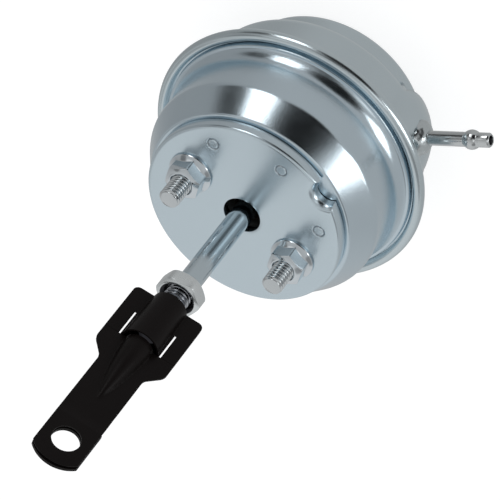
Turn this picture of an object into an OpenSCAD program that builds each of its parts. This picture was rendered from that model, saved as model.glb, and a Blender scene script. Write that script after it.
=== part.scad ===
// Wastegate actuator: a spring-loaded diaphragm canister that pushes a rod.
// The canister's axis is Z. The origin is the middle of the end plate's outer
// face, the two studs lie along X and the rod points up.

/* [Canister] */
// Outer radius of both can walls
can_r = 46; // [45:0.5:47.5]
// Thickness of the can sheet
sheet = 1.2; // [1:0.1:1.4]
// Height of the flange's front face
flange_z = -36.2; // [-38:0.2:-35]
// Depth of the rear can behind its own flange
rear_depth = 35.4; // [34:0.2:38]
// How far the rolled seam stands out from the can wall
seam_w = 8.4; // [8:0.2:11]
// Thickness of the diaphragm where the seam clamps it
clamp_t = 1.2; // [1:0.1:1.6]

/* [End plate] */
// How much smaller than the can wall the plate's radius is
shoulder_w = 7.5; // [7.25:0.25:8.5]
// Height of its turned-down rim
plate_h = 5; // [4.5:0.25:6]
// Thickness of its sheet
plate_t = 2; // [1.5:0.25:2.5]
// Radius of its centre hole
plate_hole_r = 7.25; // [6.5:0.25:8]
// Radius of the half-round notch in the rim
notch_r = 4.5; // [3.5:0.25:5]

/* [Studs] */
// Distance between the two studs
stud_spacing = 47.4; // [45:0.2:50]
// Major diameter of the stud thread
stud_d = 7.9; // [7:0.1:8.4]
// Height of the stud tips above the plate
stud_h = 16.7; // [14:0.5:22]
// Width of the nuts on the studs across their flats
stud_nut_af = 12.7; // [12:0.1:13.2]
// Height of these nuts
stud_nut_h = 7.8; // [6.8:0.2:8.4]

/* [Rod] */
// Diameter of the smooth rod
rod_d = 8.4; // [8:0.1:8.8]
// Major diameter of the rod's thread
thread_d = 9.5; // [9.2:0.1:9.8]
// Height of the jam nut's near face above the plate
jam_z = 42.4; // [40:0.2:44]
// Height of the jam nut
jam_h = 4.6; // [4:0.2:6]
// Width of the jam nut across its flats
jam_af = 14.8; // [14:0.1:16]

/* [Rod end] */
// Height of the rod end's lower edge above the plate
link_z = 53.6; // [53:0.2:58]
// Distance from that edge to the middle of the eye
link_len = 70.2; // [68:0.2:80]
// Half width of the link at its wings
wing_w = 13.7; // [13:0.1:15]
// Half width of the link's shank
shank_w = 8.6; // [8.4:0.1:9.2]
// Thickness of the link's sheet
link_t = 1.5; // [1.3:0.1:1.8]
// Thickness of the eye end
eye_t = 3; // [2.4:0.1:3.6]
// Radius of the eye hole
eye_r = 5; // [4:0.25:5.5]

/* [Nipple] */
// Outer radius of the hose nipple
nipple_r = 2.7; // [2.4:0.1:3]
// Length of the hose nipple outside the boss
nipple_len = 27; // [24:0.5:32]
// Height of the nipple's axis
nipple_z = -52; // [-53:0.2:-51]

/* [Hidden] */
$fn = 96;
nipple_angle = 49;   // from the stud line
link_angle = 13.6;   // turn of the rod end from the stud line
notch_angle = 66;
fit = 0.1;           // clearance between pieces that are screwed together
stud_pitch_r = stud_d / 2 - 0.45;
plate_r = can_r - shoulder_w;
seam_r = can_r + seam_w;
run = 0.05;          // running clearance of the rod in its bush

// Front can: a flat top under the plate, a conical shoulder, the wall, and
// a wide hollow curve that ends in the flange's raised rib
top_z = -plate_h;
cone_top_r = plate_r + 1.4;
cone_foot_z = top_z - 11;
cone_a = atan2(can_r - cone_top_r, top_z - cone_foot_z);
foot_round = 4;
top_round = 1.3;
hollow_r = 10.1;
hollow_a = 38.5;
hollow_z = flange_z + 0.6 + hollow_r * sin(hollow_a);
rib_r = can_r + hollow_r * (1 - cos(hollow_a));

// Seam: front flange, diaphragm and rear flange, held by a rolled lip
seam_half = (3 * sheet + clamp_t) / 2;
seam_mid_z = flange_z + sheet - seam_half;
clamp_top_z = flange_z - sheet;
clamp_low_z = clamp_top_z - clamp_t;
rear_flange_z = clamp_low_z - sheet;
lip_in_r = seam_r - 4;
flange_edge_r = seam_r - seam_half;

// Rear can: the wall, a rounded shoulder, then a narrower stepped end
bottom_z = rear_flange_z - rear_depth;
step_round = 6;
step_z = bottom_z + 13.2;
end_r = can_r - 7.2;
end_round = 5;
boss_r = 18;
boss_dome_r = 26.5;
boss_top = can_r + 3.4;
nipple_reach = boss_top + nipple_len;
inner_r = can_r - sheet;

// Moving pieces inside, from the piston's inner face outwards
piston_r = can_r - 10.4;
piston_t = 1.5;
piston_z = bottom_z + 16;
skirt_h = 18;
rubber_t = 1.2;
retainer_t = 1.5;
tail_r = 3.3;
seat_z = top_z - sheet;
seat_t = 1.5;
spring_wire_r = 2;
spring_mean_r = piston_r - piston_t - spring_wire_r - 0.4;
spring_turns = 6;
rivet_r = 5.8;
guide_r = 7;
guide_len = 11;
bush_z = seat_z - 2;

function polar(r, a) = [r * cos(a), r * sin(a)];

// Half profile of a can shell's solid, moved inwards by i
module front_profile(i, low) {
    foot_c = [can_r - foot_round, cone_foot_z - foot_round * tan(cone_a / 2)];
    top_c = [cone_top_r - top_round * tan(45 - cone_a / 2), top_z - top_round];
    top_cr = max(top_round - i, 0.05);
    polygon([[0, top_z - i], [top_c[0], top_z - i],
             top_c + polar(top_cr, cone_a),
             foot_c + polar(foot_round - i, cone_a),
             [can_r - i, foot_c[1]], [can_r - i, low], [0, low]]);
    translate(top_c) circle(top_cr);
    translate(foot_c) circle(foot_round - i);
    difference() {
        translate([can_r - i - 2, low])
            square([rib_r - can_r + i * (1 - cos(hollow_a)) + 2, hollow_z - low]);
        translate([can_r + hollow_r, hollow_z]) circle(hollow_r + i);
    }
}

module front_can() {
    rib_round = 0.8;
    color("lightsteelblue") difference() {
        union() {
            rotate_extrude() front_profile(0, clamp_top_z);
            rotate_extrude() {
                translate([rib_r - 2, clamp_top_z])
                    square([flange_edge_r - rib_r + 2, sheet]);
                translate([rib_r - 0.1, flange_z - 0.1]) circle(rib_round);
            }
        }
        rotate_extrude() front_profile(sheet, clamp_top_z - 1);
        translate([0, 0, top_z - 5]) cylinder(r = plate_hole_r + 1.5, h = 10);
        stud_places() cylinder(r = stud_d / 2 + 0.25, h = 30, center = true);
    }
}

module stud_places() {
    for (s = [-1, 1]) translate([s * stud_spacing / 2, 0, 0]) children();
}

module end_plate() {
    edge = 1.2;
    plate_mark_r = 2.1;
    dish_r = 12;
    dish_depth = 1.3;
    color("lightsteelblue") difference() {
        rotate_extrude() difference() {
            union() {
                translate([0, -plate_h]) square([plate_r, plate_h - edge]);
                translate([0, -plate_h]) square([plate_r - edge, plate_h]);
                translate([plate_r - edge, -edge]) circle(edge);
            }
            translate([-1, -plate_h - 1])
                square([plate_r - plate_t + 1, plate_h - plate_t + 1]);
        }
        translate([0, 0, -plate_h]) cylinder(r = plate_hole_r, h = 2 * plate_h);
        stud_places() cylinder(r = stud_d / 2 + 0.25, h = 30, center = true);
        rotate([0, 0, notch_angle]) {
            translate([plate_r + 0.7, 0, -10]) cylinder(r = notch_r, h = 20);
            translate([plate_r + 0.3, 0, dish_r - dish_depth]) sphere(dish_r);
        }
        // three plain stamped rings
        for (k = [-1, 0, 1]) rotate([0, 0, 90.8 + 51.5 * k])
            translate([30.7, 0, 0]) rotate_extrude()
                translate([plate_mark_r, 0]) circle(0.22);
    }
}

// Staked stud: a riveted head inside the can, a shoulder between the can
// and the plate, and the shank. The thread is rolled, so the shank is as thin
// as the thread's pitch radius, and only the free end is drawn over its crests
module stud(side) {
    collar_r = 6.5;
    head_h = 2.2;
    chamfer = 0.8;
    free_z = stud_nut_h + 0.3;
    color("silver") translate([side * stud_spacing / 2, 0, 0]) {
        translate([0, 0, seat_z - head_h]) {
            cylinder(r1 = rivet_r - 1, r2 = rivet_r, h = 1);
            translate([0, 0, 1]) cylinder(r = rivet_r, h = head_h - 1);
        }
        translate([0, 0, top_z]) cylinder(r = collar_r, h = plate_h - plate_t);
        translate([0, 0, seat_z - 0.5])
            cylinder(r = stud_pitch_r, h = free_z - seat_z + 0.5);
        // free end above the nut, over the thread's crests
        translate([0, 0, free_z]) cylinder(d = stud_d, h = stud_h - free_z - chamfer);
        translate([0, 0, stud_h - chamfer])
            cylinder(r1 = stud_d / 2, r2 = stud_d / 2 - chamfer, h = chamfer);
    }
}

// Hexagon with its corners turned off at the far end, or at both
module hex_body(af, h, both = false) {
    corner_r = af / 2 / cos(30);
    rise = (corner_r - af / 2) * 0.55;
    intersection() {
        cylinder(r = corner_r, h = h, $fn = 6);
        rotate_extrude() polygon([[0, 0], [both ? af / 2 : corner_r + 0.1, 0],
            [corner_r + 0.1, both ? rise : 0.1], [corner_r + 0.1, h - rise],
            [af / 2, h], [0, h]]);
    }
}

module flange_nut(side, turn) {
    skirt_r = 9.1;
    nut_h = stud_nut_h;
    bore_r = stud_pitch_r + fit;
    color("gainsboro") translate([side * stud_spacing / 2, 0, 0]) difference() {
        union() {
            cylinder(r = skirt_r, h = 1);
            translate([0, 0, 1])
                cylinder(r1 = skirt_r, r2 = stud_nut_af / 2, h = 1.6);
            rotate([0, 0, turn]) hex_body(stud_nut_af, nut_h);
        }
        translate([0, 0, -1]) cylinder(r = bore_r, h = nut_h + 2);
        translate([0, 0, nut_h - 0.6])
            cylinder(r1 = bore_r, r2 = bore_r + 0.9, h = 0.7);
    }
}

// Rear can outline, moved inwards by i
module rear_profile(i, high) {
    step_c = [can_r - step_round, step_z + step_round];
    end_c = [end_r - end_round, bottom_z + end_round];
    polygon([[0, bottom_z + i], [end_c[0], bottom_z + i],
             [end_r - i, end_c[1]], [end_r - i, step_z + i],
             [step_c[0], step_z + i], [can_r - i, step_c[1]],
             [can_r - i, high], [0, high]]);
    translate(step_c) circle(step_round - i);
    translate(end_c) circle(end_round - i);
}

module toward_nipple() {
    rotate([0, 0, nipple_angle]) translate([0, 0, nipple_z])
        rotate([0, 90, 0]) children();
}

// Domed round boss pressed out of the rear can's wall
module boss(i) {
    intersection() {
        toward_nipple() {
            dome_c = boss_top - boss_dome_r;
            intersection() {
                translate([0, 0, 30]) cylinder(r = boss_r - i, h = 25);
                translate([0, 0, dome_c]) sphere(boss_dome_r - i);
            }
        }
        translate([0, 0, bottom_z])
            cylinder(r = can_r + 10, h = rear_flange_z - bottom_z - i);
    }
}

module rear_can() {
    color("lightsteelblue") difference() {
        union() {
            rotate_extrude() {
                rear_profile(0, clamp_low_z);
                translate([can_r - 2, rear_flange_z])
                    square([seam_r - seam_half - can_r + 2, sheet]);
                // fillet between the wall and the flange
                difference() {
                    translate([can_r - 1, rear_flange_z - 1.5]) square(2.5);
                    translate([can_r + 1.5, rear_flange_z - 1.5]) circle(1.5);
                }
                seam_ring();
            }
            boss(0);
        }
        rotate_extrude() rear_profile(sheet, 0);
        boss(sheet);
        toward_nipple() cylinder(r = nipple_r, h = nipple_reach);
    }
}

// Section of the rolled rim, open on the inside, with its lip on the
// front can's flange
module seam_ring() {
    roll_c = [seam_r - seam_half, seam_mid_z];
    difference() {
        union() {
            translate(roll_c) circle(seam_half);
            translate([lip_in_r + sheet / 2, flange_z])
                square([roll_c[0] - lip_in_r - sheet / 2, sheet]);
            translate([lip_in_r + sheet / 2, flange_z + sheet / 2])
                circle(sheet / 2);
            translate([roll_c[0] - 2, rear_flange_z]) square([2, sheet]);
        }
        translate([lip_in_r - 5, clamp_low_z])
            square([roll_c[0] - lip_in_r + 5, flange_z - clamp_low_z]);
        translate(roll_c) circle(seam_half - sheet);
    }
}

module hose_nipple() {
    bore_r = 1.7;
    barb_r = 3.65;
    barb_at = nipple_reach - 7.5;
    foot = can_r - 1;
    color("silver") toward_nipple() difference() {
        union() {
            translate([0, 0, foot])
                cylinder(r = nipple_r, h = nipple_reach - foot - 0.6);
            translate([0, 0, barb_at]) sphere(barb_r);
            translate([0, 0, nipple_reach - 0.6])
                cylinder(r1 = nipple_r, r2 = nipple_r - 0.5, h = 0.6);
        }
        translate([0, 0, foot - 1])
            cylinder(r = bore_r, h = nipple_reach - foot + 2);
    }
}

module braze_collar() {
    foot = boss_top - 1.1;
    color("silver") difference() {
        toward_nipple() difference() {
            union() {
                translate([0, 0, foot]) cylinder(r = 6.6, h = 1.3);
                translate([0, 0, foot + 1.3])
                    cylinder(r1 = 6.6, r2 = 5.2, h = 1.3);
                translate([0, 0, foot + 2.6])
                    cylinder(r1 = 5.2, r2 = nipple_r + 0.4, h = 1.1);
            }
            translate([0, 0, foot - 1]) cylinder(r = nipple_r, h = 8);
        }
        boss(0);
    }
}

// Rolling diaphragm: a clamped edge, a half-round fold and a sleeve on the
// piston's skirt, closed across the piston's rear face
module diaphragm() {
    sleeve_r = piston_r + 0.2;
    fold_r = (inner_r - sleeve_r) / 2;
    fold_z = clamp_low_z + clamp_t / 2;
    color("dimgray") rotate_extrude() {
        translate([inner_r - rubber_t, clamp_low_z])
            square([flange_edge_r - inner_r + rubber_t, clamp_t]);
        difference() {
            translate([sleeve_r + fold_r, fold_z]) circle(fold_r);
            translate([sleeve_r + fold_r, fold_z]) circle(fold_r - rubber_t);
            translate([sleeve_r - 1, fold_z - 20])
                square([2 * fold_r + 2, 20]);
        }
        translate([sleeve_r, piston_z - rubber_t])
            square([rubber_t, fold_z - piston_z + rubber_t]);
        translate([tail_r + fit, piston_z - rubber_t])
            square([sleeve_r - tail_r, rubber_t]);
    }
}

module piston_cup() {
    color("silver") rotate_extrude() {
        translate([tail_r + fit, piston_z])
            square([piston_r - tail_r - fit, piston_t]);
        translate([piston_r - piston_t, piston_z]) square([piston_t, skirt_h]);
    }
}

module disc(r, z, h) {
    translate([0, 0, z]) difference() {
        cylinder(r = r, h = h);
        translate([0, 0, -1]) cylinder(r = tail_r + fit, h = h + 2);
    }
}

module retainer_plate() {
    color("silver") disc(piston_r - 5.6, piston_z - rubber_t - retainer_t, retainer_t);
}

module piston_washer() {
    color("silver") disc(10, piston_z + piston_t, 1.5);
}

module piston_nut() {
    nut_h = 5.4;
    z = piston_z - rubber_t - retainer_t;
    color("gainsboro") translate([0, 0, z - nut_h]) difference() {
        hex_body(11, nut_h, true);
        translate([0, 0, -1]) cylinder(r = tail_r + fit, h = nut_h + 2);
    }
}

// Coil spring as one swept tube
module spring() {
    sides = 10;
    per_turn = 28;
    steps = spring_turns * per_turn;
    low = piston_z + piston_t + spring_wire_r;
    high = seat_z - seat_t - spring_wire_r;
    // the end turns lie flat, the others share the height between them
    function climb(t) = min(max((t - 1) / (spring_turns - 2), 0), 1);
    ring = [for (s = [0:steps], k = [0:sides - 1])
        let (t = s / per_turn, a = 360 * t, b = 360 * k / sides,
             r = spring_mean_r + spring_wire_r * cos(b),
             pack = 2.15 * spring_wire_r * (min(t, 1) + max(t - spring_turns + 1, 0)),
             span = high - low - 4.3 * spring_wire_r)
        [r * cos(a), r * sin(a),
         low + pack + climb(t) * span + spring_wire_r * sin(b)]];
    sides_f = [for (s = [0:steps - 1], k = [0:sides - 1])
        let (a = s * sides + k, b = s * sides + (k + 1) % sides)
        [a, a + sides, b + sides, b]];
    caps = [[for (k = [0:sides - 1]) k],
            [for (k = [sides - 1:-1:0]) steps * sides + k]];
    color("darkgray") polyhedron(points = ring, faces = concat(sides_f, caps));
}

// Ring that carries the spring's front end and centres it with a lip
module spring_seat() {
    lip_r = spring_mean_r + spring_wire_r + 0.4;
    seat_in_r = stud_spacing / 2 + rivet_r + 0.4;
    color("silver") translate([0, 0, seat_z - seat_t]) difference() {
        translate([0, 0, -2.3]) cylinder(r = lip_r + 1.2, h = seat_t + 2.3);
        translate([0, 0, -4]) cylinder(r = lip_r, h = 4);
        cylinder(r = seat_in_r, h = 10, center = true);
    }
}

// Flanged sleeve on the front wall that holds the guide bush
module guide_holder() {
    hold_r = guide_r + 1.5;
    color("silver") translate([0, 0, seat_z]) difference() {
        union() {
            translate([0, 0, -1.5]) cylinder(r = 15.5, h = 1.5);
            translate([0, 0, -guide_len - 3.5])
                cylinder(r = hold_r, h = guide_len + 3);
        }
        translate([0, 0, -guide_len - 4]) cylinder(r = guide_r, h = guide_len + 2);
        translate([0, 0, -3]) cylinder(r = guide_r - 1.2, h = 5);
        translate([0, 0, -guide_len - 3]) rotate_extrude()
            translate([guide_r - 1, 0]) square([1.6, 1]);
    }
}

module guide_bush() {
    color("darkgoldenrod") translate([0, 0, bush_z - guide_len]) difference() {
        cylinder(r = guide_r, h = guide_len);
        translate([0, 0, -1]) cylinder(d = rod_d + 2 * run, h = guide_len + 2);
    }
}

module bush_clip() {
    color("gray") translate([0, 0, bush_z - guide_len - 1]) rotate_extrude()
        translate([guide_r - 1.8, 0]) square([2.3, 0.9]);
}

// Rod: a tail through the piston, the smooth shank and the threaded end
module actuator_rod() {
    shoulder_z = piston_z + piston_t + 1.5;
    tail_z = bottom_z + sheet + 0.5;
    thread_z = jam_z + 0.8;
    end_z = link_z + 20.6;
    chamfer = 1;
    color("lightsteelblue") {
        translate([0, 0, tail_z]) cylinder(r = tail_r, h = shoulder_z - tail_z + 0.1);
        translate([0, 0, shoulder_z]) cylinder(d = rod_d, h = thread_z - shoulder_z);
        translate([0, 0, thread_z])
            cylinder(d1 = rod_d, d2 = thread_d, h = 0.5);
        translate([0, 0, thread_z + 0.5])
            cylinder(d = thread_d, h = end_z - thread_z - 0.5 - chamfer);
        translate([0, 0, end_z - chamfer])
            cylinder(d1 = thread_d, d2 = thread_d - 2 * chamfer, h = chamfer);
    }
}

module jam_nut() {
    bore_r = thread_d / 2 + fit;
    color("gainsboro") translate([0, 0, jam_z]) difference() {
        rotate([0, 0, link_angle + 18]) hex_body(jam_af, jam_h, true);
        translate([0, 0, -1]) cylinder(r = bore_r, h = jam_h + 2);
        translate([0, 0, jam_h - 0.5])
            cylinder(r1 = bore_r, r2 = bore_r + 0.6, h = 0.6);
    }
}

// Rod end, drawn with x across the link, y out of its face and z along it
saddle_len = 21.6;
slit_z = link_z + 10.4;
saddle_in_r = thread_d / 2 + 0.25;
eye_z = link_z + link_len;
step_len = 9.4;      // the doubled sheet starts this far below the eye

module slab(t) {
    rotate([90, 0, 0]) translate([0, 0, -t / 2]) linear_extrude(t) children();
}

module link_outline() {
    corner = 2.2;
    wing_end_z = link_z + 28;
    neck_z = link_z + 34.8;
    polygon([[-wing_w + corner, link_z], [wing_w - corner, link_z],
             [wing_w, link_z + corner], [wing_w, wing_end_z],
             [wing_w - 0.8, wing_end_z + 1.2], [shank_w + 1, neck_z - 1.2],
             [shank_w, neck_z], [shank_w, eye_z],
             [-shank_w, eye_z], [-shank_w, neck_z],
             [-shank_w - 1, neck_z - 1.2], [-wing_w + 0.8, wing_end_z + 1.2],
             [-wing_w, wing_end_z], [-wing_w, link_z + corner]]);
    for (s = [-1, 1]) translate([s * (wing_w - corner), link_z + corner])
        circle(corner);
    eye_outline();
}

// Blunt rounded end, from the step of the doubled sheet to the tip
module eye_outline() {
    intersection() {
        translate([0, eye_z - 1.2]) circle(11.8);
        translate([-shank_w, eye_z - step_len]) square([2 * shank_w, step_len + 20]);
    }
}

// Ogive that fades out along the link, r at its foot and h long
module ogive(r, h) {
    steps = 6;
    rotate_extrude() polygon(concat([[0, -0.5], [r, -0.5]],
        [for (k = [0:steps]) let (t = k / steps) [r * (1 - pow(t, 1.7)), h * t]]));
}

module rod_end() {
    saddle_r1 = saddle_in_r + link_t;
    saddle_r2 = saddle_r1 + 0.8;
    saddle_top = link_z + saddle_len;
    bulge_r = saddle_in_r + 0.3;
    bulge_h = 31;
    slit_w = 0.6;
    color("black") rotate([0, 0, link_angle]) difference() {
        union() {
            slab(link_t) link_outline();
            // doubled eye end, flush with the front face but for a small step
            translate([0, (link_t - eye_t) / 2 + 0.15, 0]) slab(eye_t) eye_outline();
            translate([0, 0, link_z])
                cylinder(r1 = saddle_r1, r2 = saddle_r2, h = saddle_len);
            intersection() {
                translate([0, 0, saddle_top - 0.2]) ogive(bulge_r, bulge_h);
                translate([-30, 0, 0]) cube([60, 30, 200]);
            }
        }
        // tunnel for the rod, and the hollow behind the bulge
        translate([0, 0, link_z - 1])
            cylinder(r1 = saddle_in_r, r2 = saddle_in_r + 0.6, h = saddle_len + 1.1);
        translate([0, 0, saddle_top]) ogive(bulge_r - link_t, bulge_h * 0.8);
        for (s = [-1, 1]) translate([s * (saddle_r2 + 0.7) - slit_w / 2, -5, slit_z])
            cube([slit_w, 10, saddle_top - slit_z - 0.3]);
        translate([0, 0, eye_z]) rotate([90, 0, 0])
            cylinder(r = eye_r, h = 20, center = true);
    }
}

rear_can();
front_can();
end_plate();
stud(-1);  // stud_left
stud(1);  // stud_right
flange_nut(-1, 10);  // flange_nut_left
flange_nut(1, 22);  // flange_nut_right
hose_nipple();
braze_collar();
diaphragm();
piston_cup();
retainer_plate();
piston_washer();
piston_nut();
spring();
spring_seat();
guide_holder();
guide_bush();
bush_clip();
actuator_rod();
jam_nut();
rod_end();
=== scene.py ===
# %% [markdown]
# # A wastegate actuator in Blender
# Two pressed cans are crimped together round a rubber diaphragm. A plate with two studs
# closes the front, a rod runs out through it, and a black stamped link is screwed on the
# rod. Bright zinc shows every curve by its reflections, so this lesson spends its effort
# on three things: smooth lathed skins, real threads, and a studio for the metal to see.

# %% Load the frame
import math
import bpy
import bmesh
from mathutils import Matrix, Vector


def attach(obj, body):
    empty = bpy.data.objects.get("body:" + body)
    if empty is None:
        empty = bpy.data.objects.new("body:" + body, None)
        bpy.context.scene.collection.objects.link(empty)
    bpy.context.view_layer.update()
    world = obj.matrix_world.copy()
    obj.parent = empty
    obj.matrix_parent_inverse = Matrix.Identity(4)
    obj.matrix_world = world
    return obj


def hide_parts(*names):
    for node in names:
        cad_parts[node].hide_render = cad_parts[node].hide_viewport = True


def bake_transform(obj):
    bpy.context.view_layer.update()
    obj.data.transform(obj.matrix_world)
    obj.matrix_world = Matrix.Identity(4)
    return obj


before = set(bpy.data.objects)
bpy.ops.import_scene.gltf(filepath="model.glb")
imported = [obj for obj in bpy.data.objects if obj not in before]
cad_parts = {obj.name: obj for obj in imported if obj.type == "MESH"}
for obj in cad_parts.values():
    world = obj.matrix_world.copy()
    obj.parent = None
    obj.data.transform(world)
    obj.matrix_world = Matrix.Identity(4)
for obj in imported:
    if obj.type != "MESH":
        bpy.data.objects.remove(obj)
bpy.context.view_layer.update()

# %% [markdown]
# All sizes below are in millimetres, as on a drawing, and `MM` turns them into Blender's
# metres at the last moment. The names are those of the real pieces.

# %% Sizes of the actuator
MM = 0.001
CAN_R = 46.0
SHEET = 1.2
PLATE_R = 38.5
PLATE_H = 5.0
FLANGE_Z = -36.2
SEAM_R = 54.4
BOTTOM_Z = -75.2
NIPPLE_ANGLE = math.radians(49)
NIPPLE_Z = -52.0
BOSS_TOP = 49.4
LINK_ANGLE = math.radians(13.6)
LINK_Z = 53.6
EYE_Z = 123.8
STUD_X = 23.7


def arc(center, radius, start, end, steps):
    """Points of an arc in the half section, angles in degrees."""
    return [(center[0] + radius * math.cos(math.radians(start + (end - start) * k / steps)),
             center[1] + radius * math.sin(math.radians(start + (end - start) * k / steps)))
            for k in range(steps + 1)]


# %% [markdown]
# A piece here is plain mesh data in the shared frame: its place is in its vertices. One
# helper makes the object, smooths it, keeps edges sharper than a given angle crisp, parents
# it to the empty of the body it rides on, and hides the CAD node it stands for.

# %% Helper: a finished piece
def in_scene(name, data):
    obj = bpy.data.objects.new(name, data)
    bpy.context.scene.collection.objects.link(obj)
    return obj


def piece(name, verts, faces, body, material, nodes=(), sharp=32):
    mesh = bpy.data.meshes.new(name)
    mesh.from_pydata([(x * MM, y * MM, z * MM) for x, y, z in verts], [], faces)
    return settle(name, mesh, body, material, nodes, sharp)


def settle(name, mesh, body, material, nodes=(), sharp=32):
    bm = bmesh.new()
    bm.from_mesh(mesh)
    bmesh.ops.remove_doubles(bm, verts=bm.verts, dist=1e-6)
    bmesh.ops.dissolve_degenerate(bm, edges=bm.edges, dist=1e-7)
    bmesh.ops.recalc_face_normals(bm, faces=bm.faces)
    bm.to_mesh(mesh)
    bm.free()
    mesh.shade_smooth()
    mesh.set_sharp_from_angle(angle=math.radians(sharp))
    mesh.materials.clear()
    mesh.materials.append(material)
    obj = in_scene(name, mesh)
    if body:
        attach(obj, body)
    if nodes:
        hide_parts(*nodes)
    print(f"{name}: {len(mesh.polygons)} faces")
    return obj


def grid_faces(rows, columns, wrap=True, offset=0):
    """Quads between neighbouring rows; with wrap, each row closes on itself."""
    faces = []
    for j in range(rows - 1):
        for i in range(columns if wrap else columns - 1):
            n = (i + 1) % columns
            faces.append((offset + j * columns + i, offset + j * columns + n,
                          offset + (j + 1) * columns + n, offset + (j + 1) * columns + i))
    return faces


def lathe(section, steps=256, shape=None):
    """Turn a half section round Z. shape(r, z, angle) may move a point."""
    verts = []
    for r, z in section:
        for i in range(steps):
            a = 2 * math.pi * i / steps
            rr, zz = shape(r, z, a) if shape else (r, z)
            verts.append((rr * math.cos(a), rr * math.sin(a), zz))
    return verts, grid_faces(len(section), steps)


# %% [markdown]
# ## Finishes
# Zinc plate is a mirror with a faint blue cast that is slightly frosted, so it is fully
# metallic with a roughness that wanders a little and a grain too fine to see one by one.
# One function makes every metal here; only the colour, frost and grain change.

# %% Helpers: nodes of a finish
def new_material(name):
    mat = bpy.data.materials.new(name)
    mat.use_nodes = True
    return mat, mat.node_tree.nodes, mat.node_tree.links


def add(nodes, kind, **sockets):
    node = nodes.new(kind)
    for key, value in sockets.items():
        node.inputs[key.replace("_", " ")].default_value = value
    return node


def calc(tree, operation, *values, kind="ShaderNodeMath", out="Value", clamp=False):
    """A math node's result. Each value is a number, a vector or another node's socket."""
    node = tree.nodes.new(kind)
    node.operation = operation
    if clamp:
        node.use_clamp = True
    for socket, value in zip(node.inputs, values):
        if isinstance(value, bpy.types.NodeSocket):
            tree.links.new(value, socket)
        else:
            socket.default_value = value
    return node.outputs[out]


def vector_calc(tree, operation, *values, out="Vector"):
    return calc(tree, operation, *values, kind="ShaderNodeVectorMath", out=out)


def between(tree, factor, first, second):
    """A mix of two colours. Each is a colour or another node's socket."""
    mix = tree.nodes.new("ShaderNodeMix")
    mix.data_type = "RGBA"
    tree.links.new(factor, mix.inputs["Factor"])
    for key, value in (("A", first), ("B", second)):
        if isinstance(value, bpy.types.NodeSocket):
            tree.links.new(value, mix.inputs[key])
        else:
            mix.inputs[key].default_value = (*value, 1)
    return mix.outputs["Result"]


def object_place(tree):
    """The place in the shared frame, from the finish's own coordinate node."""
    return next(n for n in tree.nodes if n.type == "TEX_COORD").outputs["Object"]


# %% Helper: metal finish
def metal(name, color, frost, spread=0.04, grain=900.0, bump=0.02, streak=(1, 1, 1), stain=0.06):
    mat, nodes, links = new_material(name)
    shader = nodes["Principled BSDF"]
    shader.inputs["Metallic"].default_value = 1.0
    place = nodes.new("ShaderNodeTexCoord")
    stretch = nodes.new("ShaderNodeMapping")
    stretch.inputs["Scale"].default_value = streak
    links.new(place.outputs["Object"], stretch.inputs["Vector"])
    cloud = add(nodes, "ShaderNodeTexNoise", Scale=70.0, Detail=4.0, Roughness=0.6)
    fine = add(nodes, "ShaderNodeTexNoise", Scale=grain, Detail=3.0, Roughness=0.7)
    for noise in (cloud, fine):
        links.new(stretch.outputs["Vector"], noise.inputs["Vector"])
    frost_range = add(nodes, "ShaderNodeMapRange", From_Min=0.3, From_Max=0.7,
                      To_Min=frost - spread, To_Max=frost + spread)
    links.new(cloud.outputs["Fac"], frost_range.inputs["Value"])
    links.new(frost_range.outputs["Result"], shader.inputs["Roughness"])
    stained = [c * (1 - stain) for c in color]
    tone = between(mat.node_tree, cloud.outputs["Fac"], stained, color)
    links.new(tone, shader.inputs["Base Color"])
    relief = add(nodes, "ShaderNodeBump", Strength=bump, Distance=0.0002)
    links.new(fine.outputs["Fac"], relief.inputs["Height"])
    links.new(relief.outputs["Normal"], shader.inputs["Normal"])
    return mat


ZINC = metal("zinc_sheet", (0.66, 0.77, 0.84), 0.19, grain=2400.0, bump=0.14)
REAR_ZINC = metal("zinc_rear", (0.67, 0.76, 0.80), 0.22, grain=2400.0, bump=0.05)
ROD_ZINC = metal("zinc_rod", (0.62, 0.71, 0.76), 0.12, spread=0.01, streak=(1, 1, 0.02), bump=0.008)
THREAD_ZINC = metal("thread_zinc", (0.63, 0.67, 0.69), 0.11, bump=0.01)
# painted shade: the rod thread's colour is a darker copy of the rod's zinc, for the dark it reflects near the
# link
ROD_THREAD_DARKENED = metal("rod_thread_painted_shade", (0.42, 0.44, 0.47), 0.12, bump=0.01)
NUT_BRIGHT = metal("nut_bright", (0.74, 0.80, 0.84), 0.12, bump=0.01)
JAM_ZINC = metal("jam_nut_zinc", (0.80, 0.84, 0.85), 0.26, bump=0.01)
NIPPLE_STEEL = metal("nipple_steel", (0.66, 0.69, 0.70), 0.16, grain=1500.0, bump=0.05)
BRAZE = metal("braze", (0.70, 0.76, 0.78), 0.24, spread=0.08, grain=700.0, bump=0.25, stain=0.3)
INNER_STEEL = metal("inner_steel", (0.5, 0.5, 0.48), 0.35)

# %% [markdown]
# The plate carries three small plain rings, pressed into the sheet. Their grooves are
# real geometry, made with the plate below, and painted shade lies in them: the plate's
# finish is darker where the distance to a ring's middle is near the ring's radius.

# %% Finish of the plate
RINGS = [(30.7 * math.cos(math.radians(a)), 30.7 * math.sin(math.radians(a)))
         for a in (39.3, 90.8, 142.3)]
RING_R, RING_WIDTH, RING_DEPTH = 2.1, 0.4, 0.4


def paint_ring_groove_shade(mat):
    """Darken the base colour on each ring's groove, as painted shade."""
    tree = mat.node_tree
    shader = tree.nodes["Principled BSDF"]
    flat = vector_calc(tree, "MULTIPLY", object_place(tree), (1, 1, 0))
    for x, y in RINGS:
        gap = vector_calc(tree, "DISTANCE", flat, (x * MM, y * MM, 0), out="Value")
        near = calc(tree, "COMPARE", gap, RING_R * MM, RING_WIDTH * 0.6 * MM)
        clean = shader.inputs["Base Color"].links[0].from_socket
        # painted shade: each ring's groove is coloured darker than the sheet around it
        painted_groove_shade = between(tree, near, clean, (0.40, 0.47, 0.52))
        tree.links.new(painted_groove_shade, shader.inputs["Base Color"])


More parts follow.
